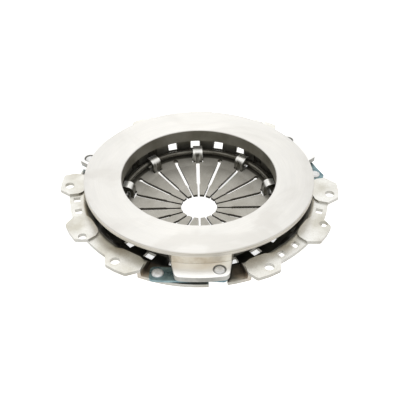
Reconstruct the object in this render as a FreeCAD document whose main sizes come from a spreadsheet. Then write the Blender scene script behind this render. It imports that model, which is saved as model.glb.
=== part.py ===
import FreeCAD, Part
import math
import os
import re
import Sketcher
from FreeCAD import Placement, Rotation, Vector

# Clutch pressure plate for a 230 mm disc: pressed cover, lifting plate, sprung fingers and drive straps.
# All lengths are millimetres, all angles degrees. The axis is Z and points at the flywheel.
# The origin lies on the axis, in the face of the cover flange that bolts to the flywheel.
# Bearings are measured about Z. The X axis lies along the three pairs of bolt holes, which puts the
# ears at 34.5, 154.5 and 274.5 degrees.

doc = FreeCAD.newDocument("ClutchPressurePlate")
sheet = doc.addObject("Spreadsheet::Sheet", "Sizes")

sizes = {
    # shared by the whole assembly
    "ear_count": 3,
    "ear_bearing": 274.5,
    "sheet_gauge": 3.5,
    # pressure plate casting
    "face_radius": 115,
    "bore_radius": 77.5,
    "face_level": 16.3,
    "rim_level": 11.3,
    "back_level": 1.3,
    "back_radius": 104,
    "neck_radius": 107,
    "neck_level": 5,
    "edge_break": 0.6,
    "land_inner": 84.2,
    "land_crest": 86.6,
    "land_outer": 89,
    "land_gap": 0.27,
    "vent_count": 21,
    "vent_width": 11.5,
    "vent_level": 1,
    "vent_offset": 10.2,
    "ear_radius": 133,
    "ear_root_half_width": 30.5,
    "ear_tip_half_width": 22.6,
    "ear_top": 3.3,
    "ear_bottom": -1.9,
    "ear_corner": 6,
    "ear_wall_sweep": 27.2,
    # rivets, washers and straps
    "rivet_circle": 123.8,
    "plate_rivet_offset": 7.4,
    "cover_rivet_offset": -18.7,
    "rivet_hole": 3.1,
    "shank_radius": 3,
    "plate_head_radius": 5.15,
    "head_well_radius": 5.5,
    "head_well_level": 1.3,
    "cover_head_radius": 5.45,
    "head_height": 2,
    "formed_radius": 4.9,
    "formed_height": 1.5,
    "washer_radius": 6.5,
    "washer_gauge": 1,
    "leaf_count": 3,
    "leaf_gauge": 0.8,
    "leaf_width": 17,
    "leaf_corner": 4,
    "leaf_end": 7.5,
    "leaf_flat": 9,
    # diaphragm fingers
    "finger_count": 18,
    "finger_gauge": 2.9,
    "tip_radius": 18.7,
    "tip_level": -25.4,
    "knee_radius": 62,
    "knee_level": -19.4,
    "fulcrum_radius": 77.5,
    "fulcrum_level": -15.8,
    "rim_radius": 88,
    "rim_top": -13.8,
    "slot_half_width": 1.8,
    "slot_tip_half_width": 1,
    "slot_step_radius": 33,
    "joint_half_gap": 0.2,
    "window_inner": 66.6,
    "window_outer": 80,
    "window_half_width": 5.8,
    "relief_circle": 71,
    "relief_radius": 2.6,
    # fulcrum ring
    "ring_inner": 74.8,
    "ring_outer": 80.4,
    "ring_top": -9.2,
    "ring_crest": -15.55,
    "ring_round": 2.6,
    # pressed cover
    "floor_level": -25.2,
    "bead_level": -19,
    "lip_radius": 75.3,
    "bead_outer": 83,
    "cone_foot": 98.29,
    "cone_head": 114.78,
    "cone_shift": 1.79,
    "bend_inner": 2,
    "bend_outer": 5.5,
    "web_radius": 130.5,
    "web_level": -2,
    "pad_radius": 114.6,
    "tab_radius": 140.5,
    "tab_corner": 3,
    "tray_level": -8.2,
    "tray_radius": 130,
    "tray_start": -25,
    "tray_end": 18.5,
    "tray_notch_start": 2.7,
    "tray_notch_end": 10.3,
    "tray_notch_radius": 115.6,
    "tray_notch_corner": 3.5,
    "lug_count": 9,
    "lug_offset": 20,
    "lug_width": 10.3,
    "lug_inner": 67.5,
    "lug_tip": 79,
    "lug_level": -5.2,
    "lug_bend": 7.5,
    "tongue_level": -20,
    "tongue_bend": 4.5,
    "bolt_circle": 131.85,
    "bolt_hole": 4.6,
    "dowel_circle": 132.6,
    "dowel_hole": 4,
    "web_slot_circle": 123.3,
    "web_slot_length": 6.5,
    "web_slot_width": 7,
    "floor_window_inner": 84,
    "floor_window_outer": 92,
    "floor_window_width": 10,
    "wall_window_bottom": -24.5,
    "wall_window_top": -15.5,
    "wall_window_width": 10,
}
for row, (alias, number) in enumerate(sizes.items(), 1):
    sheet.set(f"A{row}", alias)
    sheet.set(f"B{row}", str(number))
    sheet.setAlias(f"B{row}", alias)
doc.recompute()


def formula(text):
    """Turn the names in a size formula into references to the sheet."""
    return re.sub(r"[a-z]\w*", lambda word: f"Sizes.{word[0]}" if word[0] in sizes else word[0], str(text))


def polar(radius, bearing):
    """The X and Y formulas of a point given by its radius and its bearing."""
    return f"({radius}) * cos({bearing})", f"({radius}) * sin({bearing})"


def datum(body, role):
    return next(item for item in body.Origin.OriginFeatures if item.Role == role)


def outline(body, name, role, loops, circles=(), height=None, turn=None):
    """A fully dimensioned sketch of closed loops and circles, turned about Z by a formula."""
    sketch = body.newObject("Sketcher::SketchObject", name)
    sketch.AttachmentSupport = (datum(body, role), [""])
    sketch.MapMode = "FlatFace"
    if turn is not None:
        upright = Vector(0, 0, 1) if role == "XY_Plane" else Vector(0, 1, 0)
        sketch.AttachmentOffset = Placement(Vector(0, 0, 0), Rotation(upright, 10))
        sketch.setExpression("AttachmentOffset.Rotation.Angle", formula(turn))
    if height is not None:
        sketch.setExpression("AttachmentOffset.Base.z", formula(height))
    for corners in loops:
        total = len(corners)
        first = sketch.GeometryCount
        step = 2 * math.pi / total
        spots = [Vector(100 * math.cos(step * n), 100 * math.sin(step * n), 0) for n in range(total)]
        sketch.addGeometry([Part.LineSegment(spots[n], spots[(n + 1) % total]) for n in range(total)])
        for n in range(total):
            sketch.addConstraint(
                Sketcher.Constraint("Coincident", first + n, 2, first + (n + 1) % total, 1))
        for n, (across, up) in enumerate(corners):
            fix(sketch, "DistanceX", first + n, 1, spots[n].x, across)
            fix(sketch, "DistanceY", first + n, 1, spots[n].y, up)
    for n, (across, up, radius) in enumerate(circles):
        spot = Vector(50 + 20 * n, 10, 0)
        index = sketch.addGeometry(Part.Circle(spot, Vector(0, 0, 1), 5))
        fix(sketch, "DistanceX", index, 3, spot.x, across)
        fix(sketch, "DistanceY", index, 3, spot.y, up)
        rule = sketch.addConstraint(Sketcher.Constraint("Radius", index, 5))
        sketch.setExpression(f"Constraints[{rule}]", formula(radius))
    return sketch


def fix(sketch, kind, index, point, start, text):
    rule = sketch.addConstraint(Sketcher.Constraint(kind, -1, 1, index, point, start))
    sketch.setExpression(f"Constraints[{rule}]", formula(text))


def ring(body, name, corners, sweep=None, turn=None, cut=False):
    """Turn a radius and height outline about the axis, all round or over a centred sweep."""
    sketch = outline(body, name + "Profile", "XZ_Plane", [corners], turn=turn)
    feature = body.newObject("PartDesign::Groove" if cut else "PartDesign::Revolution", name)
    feature.Profile = sketch
    feature.ReferenceAxis = (sketch, ["V_Axis"])
    feature.Angle = 360
    if sweep is not None:
        feature.Midplane = True
        feature.setExpression("Angle", formula(sweep))
    return feature


def slab(body, name, loops, low, high, circles=(), turn=None, cut=False):
    """Add or remove plan outlines between two levels."""
    height = high if cut else low
    sketch = outline(body, name + "Outline", "XY_Plane", loops, circles, height, turn)
    feature = body.newObject("PartDesign::Pocket" if cut else "PartDesign::Pad", name)
    feature.Profile = sketch
    feature.setExpression("Length", formula(f"({high}) - ({low})"))
    return feature


def strip(body, name, corners, width, turn=None, cut=False):
    """Add or remove a radius and height outline over a width centred on its bearing."""
    sketch = outline(body, name + "Profile", "XZ_Plane", [corners], turn=turn)
    feature = body.newObject("PartDesign::Pocket" if cut else "PartDesign::Pad", name)
    feature.Profile = sketch
    feature.SideType = "Symmetric"
    feature.setExpression("Length", formula(width))
    return feature


def around(body, feature, count="ear_count"):
    """Repeat a feature evenly about the axis."""
    pattern = body.newObject("PartDesign::PolarPattern", feature.Name + "Around")
    pattern.Originals = [feature]
    pattern.Axis = (datum(body, "Z_Axis"), [""])
    pattern.Angle = 360
    pattern.setExpression("Occurrences", formula(count))
    body.Tip = pattern
    return pattern


def soften(body, name, base, radius, chosen):
    """Round the edges that the test picks."""
    doc.recompute()
    names = [f"Edge{n}" for n, edge in enumerate(base.Shape.Edges, 1) if chosen(edge)]
    if not names:
        raise ValueError(f"{name}: no edge found")
    feature = body.newObject("PartDesign::Fillet", name)
    feature.Base = (base, names)
    feature.setExpression("Radius", formula(radius))
    return feature


def upright_at(edge, radius, spread=0.3):
    """Whether a straight upright edge stands at this radius from the axis."""
    low, high = edge.BoundBox.ZMin, edge.BoundBox.ZMax
    middle = edge.CenterOfMass
    straight = high - low > 0.9 * edge.Length
    return straight and abs(math.hypot(middle.x, middle.y) - radius) < spread


def round_at(edge, radius, level):
    """Whether an edge is a circle about the axis with this radius and level."""
    middle = edge.BoundBox
    flat = abs(middle.ZMin - level) < 0.05 and abs(middle.ZMax - level) < 0.05
    return flat and hasattr(edge.Curve, "Radius") and abs(edge.Curve.Radius - radius) < 0.05


def box_loop(inner, outer, half_width):
    return [(inner, f"-({half_width})"), (outer, f"-({half_width})"),
            (outer, half_width), (inner, half_width)]


def piece(node, label, turn=None, radius=None):
    """A named body. With a turn it stands at that bearing, with a radius it stands out from the axis."""
    body = doc.addObject("PartDesign::Body", node)
    body.Label = label
    if radius is not None:
        across, up = polar(radius, turn)
        body.setExpression("Placement.Base.x", formula(across))
        body.setExpression("Placement.Base.y", formula(up))
    elif turn is not None:
        body.Placement = Placement(Vector(0, 0, 0), Rotation(Vector(0, 0, 1), 10))
        body.setExpression("Placement.Rotation.Angle", formula(turn))
    pieces[node] = body
    return body


pieces = {}
finger_slope = "(rim_top - fulcrum_level) / (rim_radius - fulcrum_radius)"
land_level = f"(rim_top - (rim_radius - land_crest) * {finger_slope} + land_gap)"

# The pressure plate: a cast ring with a flat friction face, a crowned land on its back that the
# fingers press on, vents through that land, and three ears that carry the straps.
plate = piece("pressure_plate", "Pressure plate")
ring(plate, "Casting", [
    ("bore_radius", "face_level - edge_break"),
    ("bore_radius + edge_break", "face_level"),
    ("face_radius - edge_break", "face_level"),
    ("face_radius", "face_level - edge_break"),
    ("face_radius", "rim_level"),
    ("neck_radius", "neck_level"),
    ("back_radius", "back_level"),
    ("land_outer", "back_level"),
    ("land_outer", f"{land_level} + 0.8"),
    ("land_crest", land_level),
    ("land_inner", f"{land_level} + 0.3"),
    ("land_inner", "back_level"),
    ("bore_radius + 2.5", "back_level"),
    ("bore_radius", "back_level + 1.2"),
])
ear = slab(plate, "Ear", [[
    ("back_radius - 8", "-ear_root_half_width"),
    ("ear_radius + 6", "-ear_tip_half_width"),
    ("ear_radius + 6", "ear_tip_half_width"),
    ("back_radius - 8", "ear_root_half_width"),
]], "ear_bottom", "ear_top", turn="ear_bearing")
around(plate, ear)
wall = ring(plate, "EarWall", [
    ("back_radius - 4", "back_level - 1"),
    ("face_radius", "ear_bottom"),
    ("face_radius", "rim_level + 1"),
    ("back_radius - 4", "rim_level + 1"),
], sweep="ear_wall_sweep", turn="ear_bearing")
around(plate, wall)
trim = ring(plate, "EarTrim", [
    ("ear_radius", "ear_bottom - 2"),
    ("ear_radius + 20", "ear_bottom - 2"),
    ("ear_radius + 20", "ear_top + 2"),
    ("ear_radius", "ear_top + 2"),
], cut=True)
ears = soften(plate, "EarCorners", trim, "ear_corner", lambda edge: upright_at(edge, sizes["ear_radius"]))
well = slab(plate, "HeadWell", [], "head_well_level", "ear_top + 1",
            [polar("rivet_circle", "ear_bearing + plate_rivet_offset") + ("head_well_radius",)], cut=True)
around(plate, well)
hole = slab(plate, "EarHole", [], "ear_bottom - 1", "ear_top + 1",
            [polar("rivet_circle", "ear_bearing + plate_rivet_offset") + ("rivet_hole",)], cut=True)
around(plate, hole)
vent = slab(plate, "Vent", [box_loop("land_inner - 2", "land_outer + 2", "vent_width / 2")],
            f"{land_level} - 2", "vent_level", turn="ear_bearing + vent_offset", cut=True)
around(plate, vent, "vent_count")

# The diaphragm: eighteen sprung fingers. Slots part them, narrow at the tips and wider beyond, and
# every second slot opens into a window for a cover lug, the others into a round relief.
WINDOW_SLOT = [
    ("tip_radius - 5", "-slot_tip_half_width"),
    ("slot_step_radius", "-slot_tip_half_width"),
    ("slot_step_radius + 2", "-slot_half_width"),
    ("window_inner", "-slot_half_width"),
    ("window_inner", "-window_half_width"),
    ("window_outer", "-window_half_width"),
    ("window_outer", "-joint_half_gap"),
    ("rim_radius + 2", "-joint_half_gap"),
    ("rim_radius + 2", "joint_half_gap"),
    ("window_outer", "joint_half_gap"),
    ("window_outer", "window_half_width"),
    ("window_inner", "window_half_width"),
    ("window_inner", "slot_half_width"),
    ("slot_step_radius + 2", "slot_half_width"),
    ("slot_step_radius", "slot_tip_half_width"),
    ("tip_radius - 5", "slot_tip_half_width"),
]
RELIEF_SLOT = [
    ("tip_radius - 5", "-slot_tip_half_width"),
    ("slot_step_radius", "-slot_tip_half_width"),
    ("slot_step_radius + 2", "-slot_half_width"),
    ("relief_circle", "-slot_half_width"),
    ("relief_circle", "-joint_half_gap"),
    ("rim_radius + 2", "-joint_half_gap"),
    ("rim_radius + 2", "joint_half_gap"),
    ("relief_circle", "joint_half_gap"),
    ("relief_circle", "slot_half_width"),
    ("slot_step_radius + 2", "slot_half_width"),
    ("slot_step_radius", "slot_tip_half_width"),
    ("tip_radius - 5", "slot_tip_half_width"),
]
for number in range(sizes["finger_count"]):
    finger = piece(f"diaphragm_finger_{number + 1:02d}", f"Diaphragm finger {number + 1}",
                   turn=f"ear_bearing + lug_offset + ({number} - 0.5) * 360 / finger_count")
    ring(finger, "Blade", [
        ("tip_radius", "tip_level"),
        ("tip_radius", "tip_level - finger_gauge"),
        ("knee_radius", "knee_level - finger_gauge"),
        ("fulcrum_radius", "fulcrum_level - finger_gauge"),
        ("rim_radius", "rim_top - finger_gauge"),
        ("rim_radius", "rim_top"),
        ("fulcrum_radius", "fulcrum_level"),
        ("knee_radius", "knee_level"),
    ], sweep="360 / finger_count")
    window_side = "1" if number % 2 == 0 else "-1"
    slab(finger, "LugWindow", [WINDOW_SLOT], "tip_level - 10", "rim_top + 10",
         turn=f"{window_side} * 180 / finger_count", cut=True)
    slab(finger, "ReliefSlot", [RELIEF_SLOT], "tip_level - 10", "rim_top + 10",
         turn=f"-{window_side} * 180 / finger_count".replace("--", ""), cut=True)
    slab(finger, "Relief", [], "tip_level - 10", "rim_top + 10",
         [("relief_circle", "0", "relief_radius")],
         turn=f"-{window_side} * 180 / finger_count".replace("--", ""), cut=True)

# The fulcrum ring: held down by the lugs, its crest is the point the fingers rock on.
fulcrum = piece("fulcrum_ring", "Fulcrum ring")
section = ring(fulcrum, "Section", [
    ("ring_inner", "ring_top"),
    ("ring_outer", "ring_top"),
    ("ring_outer", "ring_top - 3"),
    ("fulcrum_radius + 1.5", "ring_crest + 0.15"),
    ("fulcrum_radius", "ring_crest"),
    ("fulcrum_radius - 0.9", "ring_crest + 0.35"),
    ("ring_inner", "ring_top - 3.4"),
])
soften(fulcrum, "Crown", section, "ring_round", lambda edge: (
    round_at(edge, sizes["ring_inner"], sizes["ring_top"])
    or round_at(edge, sizes["ring_outer"], sizes["ring_top"])))

# The cover: a pressed dish. From the inside out it has a raised lip under the fingers, a floor, a cone
# wall and a flange with nine raised pads that reach out as bolt and dowel tabs. Three trays drop below
# the flange for the straps, and nine tongues run in from the lip and are bent up as lugs.
cover = piece("cover", "Cover")
dish = ring(cover, "Dish", [
    ("lip_radius", "bead_level - 3.95"),
    ("fulcrum_radius + 1", "bead_level - 3.95"),
    ("bead_outer + 0.5", "floor_level - sheet_gauge"),
    ("cone_foot + cone_shift", "floor_level - sheet_gauge"),
    ("cone_head + cone_shift", "web_level - sheet_gauge"),
    ("web_radius", "web_level - sheet_gauge"),
    ("web_radius", "web_level"),
    ("cone_head", "web_level"),
    ("cone_foot", "floor_level"),
    ("bead_outer", "floor_level"),
    ("fulcrum_radius + 1.3", "bead_level - 0.55"),
    ("fulcrum_radius", "bead_level"),
    ("fulcrum_radius - 1.3", "bead_level - 0.55"),
    ("lip_radius", "bead_level - 1.4"),
])
wide_bend = soften(cover, "WideBends", dish, "bend_outer", lambda edge: (
    round_at(edge, sizes["cone_head"], sizes["web_level"])
    or round_at(edge, sizes["cone_foot"] + sizes["cone_shift"], sizes["floor_level"] - sizes["sheet_gauge"])))
tight_bend = soften(cover, "TightBends", wide_bend, "bend_inner", lambda edge: (
    round_at(edge, sizes["cone_head"] + sizes["cone_shift"], sizes["web_level"] - sizes["sheet_gauge"])
    or round_at(edge, sizes["cone_foot"], sizes["floor_level"])))

tray_middle = "ear_bearing + (tray_start + tray_end) / 2"
tray_sweep = "tray_end - tray_start"
gap = ring(cover, "TrayGap", [
    ("cone_foot", "tray_level"),
    ("tab_radius + 9", "tray_level"),
    ("tab_radius + 9", "5"),
    ("cone_foot", "5"),
], sweep=tray_sweep, turn=tray_middle, cut=True)
around(cover, gap)
tray = ring(cover, "TrayFloor", [
    ("cone_foot + 11.3", "tray_level - sheet_gauge"),
    ("tray_radius", "tray_level - sheet_gauge"),
    ("tray_radius", "tray_level"),
    ("cone_foot + 13.2", "tray_level"),
], sweep=tray_sweep, turn=tray_middle)
around(cover, tray)
for name, edge_bearing in (("TrayStart", "tray_start - 0.8"), ("TrayEnd", "tray_end + 0.8")):
    cheek = ring(cover, name, [
        ("cone_foot + 11.3", "tray_level - sheet_gauge"),
        ("tray_radius", "tray_level - sheet_gauge"),
        ("tray_radius", "web_level - 1"),
        ("cone_head + 1.6", "web_level - 1"),
    ], sweep="1.62", turn=f"ear_bearing + {edge_bearing}")
    around(cover, cheek)
notch_middle = "ear_bearing + (tray_notch_start + tray_notch_end) / 2"
notch = ring(cover, "TrayNotch", [
    ("tray_notch_radius", "tray_level - sheet_gauge - 1"),
    ("tray_radius + 1", "tray_level - sheet_gauge - 1"),
    ("tray_radius + 1", "tray_level + 1"),
    ("tray_notch_radius", "tray_level + 1"),
], sweep="tray_notch_end - tray_notch_start", turn=notch_middle, cut=True)
notch = around(cover, notch)
soften(cover, "NotchEnds", notch, "tray_notch_corner",
       lambda edge: upright_at(edge, sizes["tray_notch_radius"], 0.1))


def tab(name, foot_start, start, end, foot_end):
    """One raised pad and its tab, given by the bearings of its feet and of its outer corners from the ear."""
    middle = (foot_start + foot_end) / 2
    loop = [polar(radius, f"ear_bearing + {bearing}") for radius, bearing in (
        ("pad_radius + 6.5", foot_start + 0.4), ("web_radius - 0.2", foot_start), ("tab_radius", start),
        ("tab_radius + 0.3", (start + end) / 2), ("tab_radius", end),
        ("web_radius - 0.2", foot_end), ("pad_radius + 6.5", foot_end - 0.4),
        ("pad_radius + 2.8", foot_end - 1.6), ("pad_radius + 0.7", foot_end - 3.8), ("pad_radius", middle),
        ("pad_radius + 0.7", foot_start + 3.8), ("pad_radius + 2.8", foot_start + 1.6))]
    raised = around(cover, slab(cover, name, [loop], "-sheet_gauge", "0"))
    hollow = [polar(radius, f"ear_bearing + {bearing}") for radius, bearing in (
        ("pad_radius + 4.9", foot_start + 2), ("web_radius + 1", foot_start + 2), ("web_radius + 2", middle),
        ("web_radius + 1", foot_end - 2), ("pad_radius + 4.9", foot_end - 2), ("pad_radius + 4.4", middle))]
    around(cover, slab(cover, name + "Hollow", [hollow],
                       "web_level - sheet_gauge - 1", "-sheet_gauge", cut=True))
    return raised


tab("BoltTabA", -42.6, -38.4, -29.3, -25)
tab("BoltTabB", 18.5, 20.7, 30.4, 33.8)
tab("DowelTab", 49.6, 52.9, 62.8, 65.9)
tabs = cover.Tip
tabs = soften(cover, "TabCorners", tabs, "tab_corner",
              lambda edge: upright_at(edge, sizes["tab_radius"], 0.1))

bolts = slab(cover, "BoltHoles", [], "web_level - sheet_gauge - 1", "1", [
    polar("bolt_circle", "ear_bearing - 36.5") + ("bolt_hole",),
    polar("bolt_circle", "ear_bearing + 27.5") + ("bolt_hole",),
    polar("dowel_circle", "ear_bearing + 62.9") + ("dowel_hole",),
], cut=True)
around(cover, bolts)
strap_hole = slab(cover, "StrapHole", [], "tray_level - sheet_gauge - 1", "tray_level + 1",
                  [polar("rivet_circle", "ear_bearing + cover_rivet_offset") + ("rivet_hole",)], cut=True)
around(cover, strap_hole)
for number, (bearing, count) in enumerate(((37, 3), (45.5, 3), (71.5, 1)), 1):
    slot = slab(cover, f"WebSlot{number}", [box_loop("web_slot_circle - web_slot_length / 2",
                "web_slot_circle + web_slot_length / 2", "web_slot_width / 2")],
                "web_level - sheet_gauge - 1", "1", turn=f"ear_bearing + {bearing}", cut=True)
    if count > 1:
        around(cover, slot)
for number, bearing in enumerate((-51, -33.8, -16.5, 20, 37.2, 54), 1):
    opening = slab(cover, f"FloorWindow{number}", [
        box_loop("floor_window_inner", "floor_window_outer", "floor_window_width / 2")],
        "floor_level - sheet_gauge - 1", "floor_level + 1", turn=f"ear_bearing + {bearing}", cut=True)
    around(cover, opening)
for number, bearing in enumerate((31.7, 46.5, 61.3, 75.8), 1):
    opening = strip(cover, f"WallWindow{number}", [
        ("cone_foot - 3", "wall_window_bottom"),
        ("cone_head + 8", "wall_window_bottom"),
        ("cone_head + 8", "wall_window_top"),
        ("cone_foot - 3", "wall_window_top"),
    ], "wall_window_width", turn=f"ear_bearing + {bearing}", cut=True)
    around(cover, opening)
lug = strip(cover, "Lug", [
    ("lug_inner", "tongue_level - sheet_gauge"),
    ("fulcrum_radius + 1", "tongue_level - sheet_gauge"),
    ("fulcrum_radius + 1", "tongue_level"),
    ("lug_inner + sheet_gauge", "tongue_level"),
    ("lug_inner + sheet_gauge", "lug_level - sheet_gauge"),
    ("lug_tip", "lug_level - sheet_gauge"),
    ("lug_tip", "lug_level"),
    ("lug_inner", "lug_level"),
], "lug_width", turn="ear_bearing + lug_offset")
lugs = around(cover, lug, "lug_count")


def lug_edge(edge, radius, level):
    """Whether an edge runs across a lug at this radius and level."""
    middle = edge.CenterOfMass
    across = abs(edge.Length - sizes["lug_width"]) < 0.05
    return across and abs(math.hypot(middle.x, middle.y) - radius) < 0.1 and abs(middle.z - level) < 0.1


lugs = soften(cover, "LugBacks", lugs, "lug_bend",
              lambda edge: lug_edge(edge, sizes["lug_inner"], sizes["lug_level"]))
lugs = soften(cover, "LugThroats", lugs, "lug_bend - sheet_gauge", lambda edge: lug_edge(
    edge, sizes["lug_inner"] + sizes["sheet_gauge"], sizes["lug_level"] - sizes["sheet_gauge"]))
lugs = soften(cover, "TongueBends", lugs, "tongue_bend", lambda edge: lug_edge(
    edge, sizes["lug_inner"], sizes["tongue_level"] - sizes["sheet_gauge"]))

# The straps: at each ear a pack of three flat spring leaves runs from the tray up to the ear.
# A leaf is drawn from its cover rivet along its own X axis.
span = "2 * rivet_circle * sin((plate_rivet_offset - cover_rivet_offset) / 2)"
half_span = math.radians(sizes["plate_rivet_offset"] - sizes["cover_rivet_offset"]) / 2
leaf_tip = 2 * sizes["rivet_circle"] * math.sin(half_span) + sizes["leaf_end"]
leaf_rise = "ear_bottom - leaf_count * leaf_gauge - tray_level"
for place in range(sizes["ear_count"]):
    bearing = f"ear_bearing + {place} * 360 / ear_count"
    for layer in range(sizes["leaf_count"]):
        leaf = piece(f"drive_strap_{'abc'[place]}{layer + 1}", f"Drive strap {'ABC'[place]} leaf {layer + 1}",
                     turn=f"{bearing} + cover_rivet_offset", radius="rivet_circle")
        leaf.setExpression("Placement.Rotation.Angle", formula(
            f"{bearing} + (cover_rivet_offset + plate_rivet_offset) / 2 + 90"))
        low = f"tray_level + {layer} * leaf_gauge"
        high = f"{low} + leaf_gauge"
        blade = strip(leaf, "Leaf", [
            ("-leaf_end", low),
            ("leaf_flat", low),
            (f"{span} - leaf_flat", f"{low} + {leaf_rise}"),
            (f"{span} + leaf_end", f"{low} + {leaf_rise}"),
            (f"{span} + leaf_end", f"{high} + {leaf_rise}"),
            (f"{span} - leaf_flat", f"{high} + {leaf_rise}"),
            ("leaf_flat", high),
            ("-leaf_end", high),
        ], "leaf_width")
        ends = soften(leaf, "LeafEnds", blade, "leaf_corner", lambda edge: (
            edge.Length < sizes["leaf_gauge"] + 0.01 and edge.BoundBox.ZLength > sizes["leaf_gauge"] - 0.01
            and edge.BoundBox.DiagonalLength < sizes["leaf_gauge"] + 0.01
            and not 1 - sizes["leaf_end"] < edge.CenterOfMass.x < leaf_tip - 1))
        slab(leaf, "LeafHoles", [], "tray_level - 2", "ear_bottom + 2",
             [("0", "0", "rivet_hole"), (span, "0", "rivet_hole")], cut=True)

# The rivets: one joins each strap pack to the cover tray, one joins it to the ear with a washer below.
pack = "leaf_count * leaf_gauge"
for place in range(sizes["ear_count"]):
    bearing = f"ear_bearing + {place} * 360 / ear_count"
    rivet = piece(f"cover_rivet_{place + 1}", f"Cover rivet {place + 1}",
                  turn=f"{bearing} + cover_rivet_offset", radius="rivet_circle")
    head = f"tray_level + {pack}"
    foot = "tray_level - sheet_gauge"
    ring(rivet, "Rivet", [
        ("0", f"{foot} - formed_height"),
        ("formed_radius - 0.8", f"{foot} - formed_height"),
        ("formed_radius", f"{foot} - formed_height + 0.6"),
        ("formed_radius", foot),
        ("shank_radius", foot),
        ("shank_radius", head),
        ("cover_head_radius", head),
        ("cover_head_radius", f"{head} + 0.9"),
        ("cover_head_radius - 1", f"{head} + 1.7"),
        ("cover_head_radius - 2.4", f"{head} + head_height"),
        ("0", f"{head} + head_height"),
    ])
    rivet = piece(f"plate_rivet_{place + 1}", f"Plate rivet {place + 1}",
                  turn=f"{bearing} + plate_rivet_offset", radius="rivet_circle")
    foot = f"ear_bottom - {pack} - washer_gauge"
    ring(rivet, "Rivet", [
        ("0", f"{foot} - formed_height"),
        ("formed_radius - 0.8", f"{foot} - formed_height"),
        ("formed_radius", f"{foot} - formed_height + 0.6"),
        ("formed_radius", foot),
        ("shank_radius", foot),
        ("shank_radius", "head_well_level"),
        ("plate_head_radius", "head_well_level"),
        ("plate_head_radius", "head_well_level + 1"),
        ("plate_head_radius - 0.9", "head_well_level + 1.7"),
        ("plate_head_radius - 2.2", "head_well_level + head_height - 0.1"),
        ("0", "head_well_level + head_height - 0.1"),
    ])
    washer = piece(f"strap_washer_{place + 1}", f"Strap washer {place + 1}",
                   turn=f"{bearing} + plate_rivet_offset", radius="rivet_circle")
    ring(washer, "Washer", [
        ("rivet_hole", foot),
        ("washer_radius", foot),
        ("washer_radius", f"{foot} + washer_gauge"),
        ("rivet_hole", f"{foot} + washer_gauge"),
    ])

doc.recompute()
for item in doc.Objects:
    if "Invalid" in item.State or "Error" in item.State:
        raise ValueError(f"{item.Label} did not build: {item.State}")
for node, body in pieces.items():
    if body.Shape.isNull() or not body.Shape.isValid() or len(body.Shape.Solids) != 1:
        raise ValueError(f"{node} is not one valid solid")
os.makedirs("parts", exist_ok=True)
for node, body in pieces.items():
    body.Shape.exportStep(f"parts/{node}.step")
    box = body.Shape.BoundBox
    print(node, round(body.Shape.Volume, 1), [round(v, 2) for v in (
        box.XMin, box.XMax, box.YMin, box.YMax, box.ZMin, box.ZMax)])
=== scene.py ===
import math

import bpy
from mathutils import Matrix, Vector


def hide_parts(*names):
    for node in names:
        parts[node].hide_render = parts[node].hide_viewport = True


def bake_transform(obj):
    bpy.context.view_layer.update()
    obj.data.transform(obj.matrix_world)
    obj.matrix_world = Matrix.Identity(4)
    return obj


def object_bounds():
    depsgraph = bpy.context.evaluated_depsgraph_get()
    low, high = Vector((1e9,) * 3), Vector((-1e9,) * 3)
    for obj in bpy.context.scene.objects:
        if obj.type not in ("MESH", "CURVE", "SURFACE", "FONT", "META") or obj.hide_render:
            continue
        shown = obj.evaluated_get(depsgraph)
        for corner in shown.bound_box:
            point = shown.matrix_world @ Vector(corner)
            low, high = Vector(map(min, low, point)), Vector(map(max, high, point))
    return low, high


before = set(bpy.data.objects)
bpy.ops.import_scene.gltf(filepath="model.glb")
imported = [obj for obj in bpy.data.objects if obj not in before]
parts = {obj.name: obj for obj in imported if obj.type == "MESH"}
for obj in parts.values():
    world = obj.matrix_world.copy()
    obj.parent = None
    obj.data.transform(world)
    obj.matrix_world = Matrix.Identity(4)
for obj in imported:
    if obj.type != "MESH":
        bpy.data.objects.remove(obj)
cad_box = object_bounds()
scene = bpy.context.scene

# The camera stands where the photographer stood: in front of one ear and forty degrees up, with the
# friction face tilted towards it. The lens is a short telephoto, so the far side shrinks only a little.
lens_mm = 68.07
film_mm = 36
turned = Matrix.Rotation(math.radians(3.5), 3, "Z")
eye = turned @ Vector((0.00097, -0.60197, 0.47869))
across = turned @ Vector((0.99998, -0.00402, -0.00488))
upward = turned @ Vector((0.00633, 0.63606, 0.77161))
stance = Matrix((across, upward, across.cross(upward))).transposed()
camera_data = bpy.data.cameras.new("photo_camera")
camera_data.lens = lens_mm
camera_data.sensor_width = film_mm
camera = bpy.data.objects.new("photo_camera", camera_data)
camera.matrix_world = Matrix.Translation(eye) @ stance.to_4x4()
scene.collection.objects.link(camera)
scene.camera = camera
scene.view_settings.view_transform = "Standard"

# The table is white paper that runs away under the part. It looks almost white, the part still drops
# a faint shadow on it, and from below it is clear, so that the back of the part can be seen.
paper_half = 3
table_level = cad_box[0][2]
corners = [(x * paper_half, y * paper_half, table_level) for x, y in ((-1, -1), (1, -1), (1, 1), (-1, 1))]
table_mesh = bpy.data.meshes.new("table")
table_mesh.from_pydata(corners, [], [(0, 1, 2, 3)])
table = bpy.data.objects.new("table", table_mesh)
scene.collection.objects.link(table)


def blank(name):
    """A new material, its node tree and its metal shader."""
    material = bpy.data.materials.new(name)
    material.use_nodes = True
    tree = material.node_tree
    return material, tree, tree.nodes["Principled BSDF"]


def add(tree, kind, **settings):
    """A new shader node with its settings."""
    node = tree.nodes.new("ShaderNode" + kind)
    for key, value in settings.items():
        setattr(node, key, value)
    return node


def feed(tree, node, *sources):
    """Puts sockets or plain numbers into a node's inputs, in their order, and hands on its first output."""
    for socket, source in zip(node.inputs, sources):
        if isinstance(source, (int, float)):
            socket.default_value = source
        else:
            tree.links.new(source, socket)
    return node.outputs[0]


def work_out(tree, sum_name, *terms):
    """A sum on sockets and numbers."""
    return feed(tree, add(tree, "Math", operation=sum_name), *terms)


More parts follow.
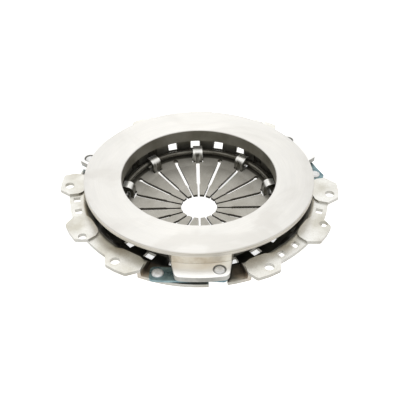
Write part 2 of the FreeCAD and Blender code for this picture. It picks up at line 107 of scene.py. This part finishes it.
def looked_at(tree):
    """One for rays that show a surface to the eye, straight on or in a reflection, and nought for light."""
    path = add(tree, "LightPath").outputs
    straight_or_mirrored = work_out(tree, "MAXIMUM", path["Is Camera Ray"], path["Is Glossy Ray"])
    return work_out(tree, "MAXIMUM", straight_or_mirrored, path["Is Transmission Ray"])


paper, tree, shader = blank("white_paper")
shader.inputs["Base Color"].default_value = (0.86, 0.86, 0.86, 1)
shader.inputs["Roughness"].default_value = 0.9
glow = add(tree, "Emission")
glow.inputs["Strength"].default_value = 0.8
glowing = feed(tree, add(tree, "AddShader"), shader.outputs[0], glow.outputs[0])
from_above = feed(tree, add(tree, "MixShader"), looked_at(tree), shader.outputs[0], glowing)
underside = add(tree, "NewGeometry").outputs["Backfacing"]
clear = add(tree, "BsdfTransparent").outputs[0]
one_sided = feed(tree, add(tree, "MixShader"), underside, from_above, clear)
tree.links.new(one_sided, tree.nodes["Material Output"].inputs["Surface"])
table.data.materials.append(paper)

# The studio is a white tent with a soft box high behind the part, a second one in front and a little
# light from the left. Ground metal shows the tent, so it is brightest towards and away from us.
world = bpy.data.worlds.new("tent")
world.use_nodes = True
scene.world = world
tent = world.node_tree
tent_light = tent.nodes["Background"]
tent_cloth = add(tent, "Background")
for tent_wall, strength in ((tent_light, 0.55), (tent_cloth, 1.0)):
    tent_wall.inputs["Color"].default_value = (1, 1, 1, 1)
    tent_wall.inputs["Strength"].default_value = strength
tent_seen = feed(tent, add(tent, "MixShader"), looked_at(tent), tent_light.outputs[0], tent_cloth.outputs[0])
tent.links.new(tent_seen, tent.nodes["World Output"].inputs["Surface"])


def soft_box(name, place, size, power):
    """A rectangular lamp that faces the part."""
    data = bpy.data.lights.new(name, "AREA")
    data.shape = "RECTANGLE"
    data.size, data.size_y = size
    data.energy = power
    lamp = bpy.data.objects.new(name, data)
    lamp.location = turned @ Vector(place)
    lamp.rotation_euler = lamp.location.to_track_quat("Z", "Y").to_euler()
    scene.collection.objects.link(lamp)


soft_box("high_back", place=(-0.03, 1.05, 0.9), size=(0.7, 0.8), power=1.5)
soft_box("front", place=(-0.2, -1.0, 1.2), size=(1.0, 0.7), power=1.8)
soft_box("left", place=(-1.2, 0.1, 0.5), size=(0.6, 0.6), power=0.2)

# The pressure plate is grey cast iron. Its friction face is ground flat in a fine circular lay, its
# rim and ears are turned, and the walls keep a tan bloom of oil and first rust.
ear_bearings = {"a": 274.5, "b": 34.5, "c": 154.5}
rivet_circle = 0.1238


def on_surface(tree):
    """The shaded point, and how far the surface faces up there: 1 is level, 0 a wall, -1 an underside."""
    spot = add(tree, "TexCoord")
    facing = add(tree, "SeparateXYZ")
    tree.links.new(spot.outputs["Normal"], facing.inputs[0])
    return spot.outputs["Object"], facing.outputs["Z"]


def turned_space(tree, place):
    """Radius, bearing and height of the shaded point about the part's axis."""
    split = add(tree, "SeparateXYZ")
    tree.links.new(place, split.inputs[0])
    length = add(tree, "VectorMath", operation="LENGTH")
    feed(tree, length, feed(tree, add(tree, "CombineXYZ"), split.outputs["X"], split.outputs["Y"]))
    bearing = work_out(tree, "ARCTAN2", split.outputs["Y"], split.outputs["X"])
    return length.outputs["Value"], bearing, split.outputs["Z"]


def noise(tree, vector, scale, detail=3.0, roughness=0.55, distortion=0.0):
    """A soft random pattern between nought and one."""
    node = add(tree, "TexNoise")
    settings = {"Scale": scale, "Detail": detail, "Roughness": roughness, "Distortion": distortion}
    for name, value in settings.items():
        node.inputs[name].default_value = value
    tree.links.new(vector, node.inputs["Vector"])
    return node.outputs["Fac"]


def turning_marks(tree, around, scales, detail=3.0):
    """A pattern drawn out along the circle. The scales are those of radius, bearing and height."""
    drawn_out = [work_out(tree, "MULTIPLY", source, scale) for source, scale in zip(around, scales)]
    return noise(tree, feed(tree, add(tree, "CombineXYZ"), *drawn_out), 1.0, detail)


def ramp(tree, source, start, end, below=0, above=1):
    """A value that runs from below, at start, to above, at end, and stays there."""
    return feed(tree, add(tree, "MapRange", clamp=True), source, start, end, below, above)


def tint(tree, factor, one, two):
    """A mix of two colours or colour outputs, where nought is the first and one is the second."""
    node = add(tree, "Mix", data_type="RGBA")
    tree.links.new(factor, node.inputs["Factor"])
    for socket, colour in zip(node.inputs[6:8], (one, two)):
        if isinstance(colour, tuple):
            socket.default_value = (*colour, 1)
        else:
            tree.links.new(colour, socket)
    return node.outputs[2]


def distance_to(tree, place, bearings, reach, level):
    """How far the shaded point is from the nearest of some points on one circle."""
    nearest = None
    for bearing in bearings:
        turn = math.radians(bearing)
        gap = add(tree, "VectorMath", operation="DISTANCE")
        gap.inputs[1].default_value = (reach * math.cos(turn), reach * math.sin(turn), level)
        tree.links.new(place, gap.inputs[0])
        reached = gap.outputs["Value"]
        nearest = work_out(tree, "MINIMUM", nearest, reached) if nearest else reached
    return nearest


def emboss(tree, shader, pattern, strength, depth):
    """Fine relief in the surface from a pattern."""
    bump = add(tree, "Bump")
    bump.inputs["Strength"].default_value = strength
    bump.inputs["Distance"].default_value = depth
    tree.links.new(pattern, bump.inputs["Height"])
    tree.links.new(bump.outputs[0], shader.inputs["Normal"])


def dress(names, material, edge=0.0003):
    """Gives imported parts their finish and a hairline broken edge."""
    for name in names:
        item = parts[name]
        item.data.materials.clear()
        item.data.materials.append(material)
        if edge:
            bevel = item.modifiers.new("broken_edge", "BEVEL")
            bevel.width = edge
            bevel.segments = 2
            bevel.limit_method = "ANGLE"
            bevel.angle_limit = math.radians(35)


iron, tree, shader = blank("ground_iron")
place, up = on_surface(tree)
around = turned_space(tree, place)
radius, _, height = around
lay = turning_marks(tree, around, (2600, 2.2, 900), detail=4.0)
broad = turning_marks(tree, around, (140, 3.0, 40))
rings = turning_marks(tree, around, (300, 1.2, 2600))
patch = noise(tree, place, 38, detail=4.0)
swirl = noise(tree, place, 11, detail=5.0, roughness=0.5, distortion=1.6)

ear_root = (0.1150, 0.1155)
rivet_gap_shade = (0.0059, 0.0065)
ear_top = 0.0033
ground = tint(tree, ramp(tree, lay, 0.3, 0.7), (0.665, 0.65, 0.61), (0.735, 0.72, 0.69))
ground = tint(tree, ramp(tree, broad, 0.35, 0.75, above=0.5), ground, (0.62, 0.612, 0.585))
ground = tint(tree, ramp(tree, swirl, 0.47, 0.60, above=0.55), ground, (0.58, 0.562, 0.525))
# Level faces out past the ear root are painted lighter: a painted highlight that makes up for the light the
# rim wall keeps off the ear tops.
ground = tint(tree, ramp(tree, radius, *ear_root, above=0.8), ground, (0.95, 0.945, 0.925))
# A dark ring is painted round each ear rivet head: painted shade for the gap between head and hole.
ear_rivets = [bearing + 7.4 for bearing in ear_bearings.values()]
from_rivet = distance_to(tree, place, ear_rivets, rivet_circle, ear_top)
ground = tint(tree, ramp(tree, from_rivet, *rivet_gap_shade, below=0.85, above=0), ground, (0.06, 0.055, 0.045))

rim_foot = (0.0105, 0.0115)
ear_side_top = (0.0031, 0.0036)
bore_edge = (0.102, 0.106)
turned_rim = tint(tree, ramp(tree, rings, 0.35, 0.65), (0.54, 0.51, 0.45), (0.93, 0.89, 0.81))
stain = tint(tree, ramp(tree, patch, 0.40, 0.62), (0.92, 0.89, 0.80), (0.62, 0.53, 0.40))
plain = tint(tree, ramp(tree, patch, 0.4, 0.6), (0.34, 0.335, 0.31), (0.50, 0.495, 0.465))
# Walls inward of the bore edge are painted darker: painted shade.
bore_shade = tint(tree, ramp(tree, patch, 0.35, 0.65), (0.22, 0.207, 0.17), (0.34, 0.325, 0.28))
wall = tint(tree, ramp(tree, height, *rim_foot), stain, turned_rim)
wall = tint(tree, ramp(tree, height, *ear_side_top), plain, wall)
wall = tint(tree, ramp(tree, radius, *bore_edge), bore_shade, wall)

level = ramp(tree, up, 0.55, 0.75)
tree.links.new(tint(tree, level, wall, ground), shader.inputs["Base Color"])
rough = add(tree, "Mix", data_type="FLOAT")
tree.links.new(level, rough.inputs["Factor"])
tree.links.new(ramp(tree, patch, 0.3, 0.7, 0.5, 0.62), rough.inputs[2])
tree.links.new(ramp(tree, lay, 0.25, 0.75, 0.30, 0.42), rough.inputs[3])
tree.links.new(rough.outputs[0], shader.inputs["Roughness"])
shader.inputs["Metallic"].default_value = 0.85
shader.inputs["Anisotropic"].default_value = 0.55
along_lay = add(tree, "Tangent", direction_type="RADIAL", axis="Z").outputs[0]
tree.links.new(along_lay, shader.inputs["Tangent"])
emboss(tree, shader, lay, strength=0.12, depth=0.0002)
dress(["pressure_plate"], iron)

# The cover is pressed from 3.5 mm sheet steel and passivated, so its grey has a thin golden cast. The
# lugs were bent over the ring last. Their tops carry a painted highlight and their sides painted shade,
# the dish and the steep walls are painted dark as shade, and round the tray ends painted shade runs into
# rust.
pressed, tree, shader = blank("passivated_steel")
place, up = on_surface(tree)
around = turned_space(tree, place)
radius, _, height = around
cloud = noise(tree, place, 26, detail=4.0)
speck = noise(tree, place, 900, detail=2.0)
steepness = work_out(tree, "ABSOLUTE", up)
sheet = tint(tree, ramp(tree, cloud, 0.38, 0.62), (0.54, 0.52, 0.455), (0.84, 0.835, 0.80))
sheet = tint(tree, ramp(tree, speck, 0.45, 0.7, above=0.3), sheet, (0.40, 0.36, 0.25))
# Steep walls are painted half way to a dark grey: painted shade.
sheet = tint(tree, ramp(tree, steepness, 0.15, 0.45, below=0.5, above=0), sheet, (0.20, 0.19, 0.165))

# Upward faces sunk below the flange and inward of the tray lip are painted near black: painted shade in the
# dish.
sunk = (-0.0045, -0.0085)
tray_lip = (0.126, 0.129)
shade_and_oil_film = work_out(tree, "MULTIPLY", ramp(tree, up, -0.1, 0.1), ramp(tree, height, *sunk))
shade_and_oil_film = work_out(tree, "MULTIPLY", shade_and_oil_film, ramp(tree, radius, *tray_lip, below=1, above=0))
sheet = tint(tree, shade_and_oil_film, sheet, (0.14, 0.135, 0.115))

# Round each tray end, below the flange, the sheet is painted dark on the inner side as painted shade,
# turning to tan rust further out.
tray_ends = [bearing + offset for offset in (18.9, -25.4) for bearing in ear_bearings.values()]
under_flange = (-0.0030, -0.0022)
from_corner = distance_to(tree, place, tray_ends, reach=0.119, level=-0.0065)
shade_and_stain = ramp(tree, from_corner, 0.009, 0.014, below=0.85, above=0)
shade_and_stain = work_out(tree, "MULTIPLY", shade_and_stain, ramp(tree, height, *under_flange, below=1, above=0))
shade_and_stain = work_out(tree, "MULTIPLY", shade_and_stain, ramp(tree, up, -0.3, -0.1))
shade_and_rust = tint(tree, ramp(tree, radius, 0.122, 0.127), (0.13, 0.105, 0.08), (0.52, 0.44, 0.35))
sheet = tint(tree, shade_and_stain, sheet, shade_and_rust)

lug_edge = (0.0795, 0.0800)
worn = noise(tree, place, 150, detail=4.0)
drag = turning_marks(tree, around, (60, 34, 60), detail=2.0)
# The lugs are painted by facing: their tops near white as a painted highlight, their sides near black as
# painted shade, streaked with drag marks.
lug_top_highlight = tint(tree, ramp(tree, worn, 0.3, 0.6), (0.88, 0.87, 0.83), (0.98, 0.97, 0.93))
lug_side_shade = tint(tree, ramp(tree, drag, 0.42, 0.62), (0.075, 0.07, 0.055), (0.46, 0.45, 0.41))
lug = tint(tree, ramp(tree, steepness, 0.55, 0.8), lug_side_shade, lug_top_highlight)
sheet = tint(tree, ramp(tree, radius, *lug_edge, below=1, above=0), sheet, lug)
tree.links.new(sheet, shader.inputs["Base Color"])
tree.links.new(ramp(tree, cloud, 0.3, 0.7, 0.26, 0.42), shader.inputs["Roughness"])
shader.inputs["Metallic"].default_value = 0.9
emboss(tree, shader, speck, strength=0.15, depth=0.0003)
dress(["cover"], pressed)

# The diaphragm spring is hardened spring steel, shot peened to a matt warm grey. Its fingers lie side
# by side with punched slots between them. Their steep faces, the slot walls among them, are painted dark
# as shade, and from just inside the ring outward the fingers are painted dark as the ring's shade.
spring, tree, shader = blank("peened_spring_steel")
place, up = on_surface(tree)
radius, _, _ = turned_space(tree, place)
ring_shade_edge = (0.0722, 0.0738)
peen = noise(tree, place, 1400, detail=2.0)
tone = noise(tree, place, 60)
steepness = work_out(tree, "ABSOLUTE", up)
steel = tint(tree, ramp(tree, tone, 0.3, 0.7), (0.44, 0.42, 0.37), (0.56, 0.54, 0.49))
steel = tint(tree, ramp(tree, peen, 0.45, 0.65, above=0.4), steel, (0.33, 0.315, 0.27))
# From just inside the ring outward the fingers are painted dark: painted shade from the ring.
steel = tint(tree, ramp(tree, radius, *ring_shade_edge, above=0.9), steel, (0.06, 0.055, 0.04))
# Steep faces, the slot walls among them, are painted near black: painted shade.
steel = tint(tree, ramp(tree, steepness, 0.35, 0.6, below=1, above=0), steel, (0.045, 0.04, 0.03))
tree.links.new(steel, shader.inputs["Base Color"])
tree.links.new(ramp(tree, peen, 0.3, 0.7, 0.42, 0.55), shader.inputs["Roughness"])
shader.inputs["Metallic"].default_value = 0.8
emboss(tree, shader, peen, strength=0.2, depth=0.0002)
dress([name for name in parts if name.startswith("diaphragm_finger")], spring, 0.0002)

# The fulcrum ring is drawn steel, round on top and black with oil. The nine lugs hold it down on the
# fingers, and it never turns.
oiled, tree, shader = blank("oiled_ring_steel")
place = add(tree, "TexCoord").outputs["Object"]
shade_and_oil_film = turning_marks(tree, turned_space(tree, place), (700, 6, 700))
black = tint(tree, ramp(tree, shade_and_oil_film, 0.3, 0.7), (0.070, 0.065, 0.052), (0.20, 0.19, 0.16))
tree.links.new(black, shader.inputs["Base Color"])
tree.links.new(ramp(tree, shade_and_oil_film, 0.3, 0.7, 0.22, 0.34), shader.inputs["Roughness"])
shader.inputs["Metallic"].default_value = 0.8
dress(["fulcrum_ring"], oiled)

# The drive straps are blued spring steel in packs of three leaves, with the blueing thinner in places.
# Each leaf is riveted to the cover at one end and to an ear at the other. Each leaf is copied into an object
# of its own, and the imported leaf is hidden.
blued, tree, shader = blank("blued_spring_steel")
place = add(tree, "TexCoord").outputs["Object"]
drift = noise(tree, place, 120)
blue = tint(tree, ramp(tree, drift, 0.35, 0.7), (0.10, 0.17, 0.20), (0.27, 0.37, 0.38))
tree.links.new(blue, shader.inputs["Base Color"])
tree.links.new(ramp(tree, drift, 0.3, 0.7, 0.22, 0.36), shader.inputs["Roughness"])
shader.inputs["Metallic"].default_value = 0.9
for pack, ear_bearing in ear_bearings.items():
    for leaf in "123":
        node = "drive_strap_" + pack + leaf
        dress([node], blued, edge=None)
        flat_leaf = parts[node].data.copy()
        flat_leaf.transform(parts[node].matrix_world)
        strap = bpy.data.objects.new("bending_strap_" + pack + leaf, flat_leaf)
        scene.collection.objects.link(strap)
        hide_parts(node)
        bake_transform(strap)

# The rivets are bright drawn steel, closed cold. Three hold the strap packs down in the trays of the
# cover, and three hold the other ends up under the ears.
bright, tree, shader = blank("drawn_rivet_steel")
place = add(tree, "TexCoord").outputs["Object"]
worked = noise(tree, place, 500)
white_metal = tint(tree, ramp(tree, worked, 0.35, 0.65), (0.66, 0.66, 0.65), (0.84, 0.84, 0.83))
tree.links.new(white_metal, shader.inputs["Base Color"])
tree.links.new(ramp(tree, worked, 0.3, 0.7, 0.38, 0.5), shader.inputs["Roughness"])
shader.inputs["Metallic"].default_value = 0.75
dress([name for name in parts if "rivet" in name], bright, 0.0002)

# The washers are dark flat steel rings. Each is closed in between a strap pack and the foot of the
# rivet below an ear.
dark, tree, shader = blank("dark_washer_steel")
place = add(tree, "TexCoord").outputs["Object"]
grime = noise(tree, place, 400)
grimy = tint(tree, ramp(tree, grime, 0.35, 0.65), (0.10, 0.095, 0.09), (0.20, 0.19, 0.17))
tree.links.new(grimy, shader.inputs["Base Color"])
shader.inputs["Roughness"].default_value = 0.5
shader.inputs["Metallic"].default_value = 0.7
dress([name for name in parts if name.startswith("strap_washer")], dark, 0.0001)
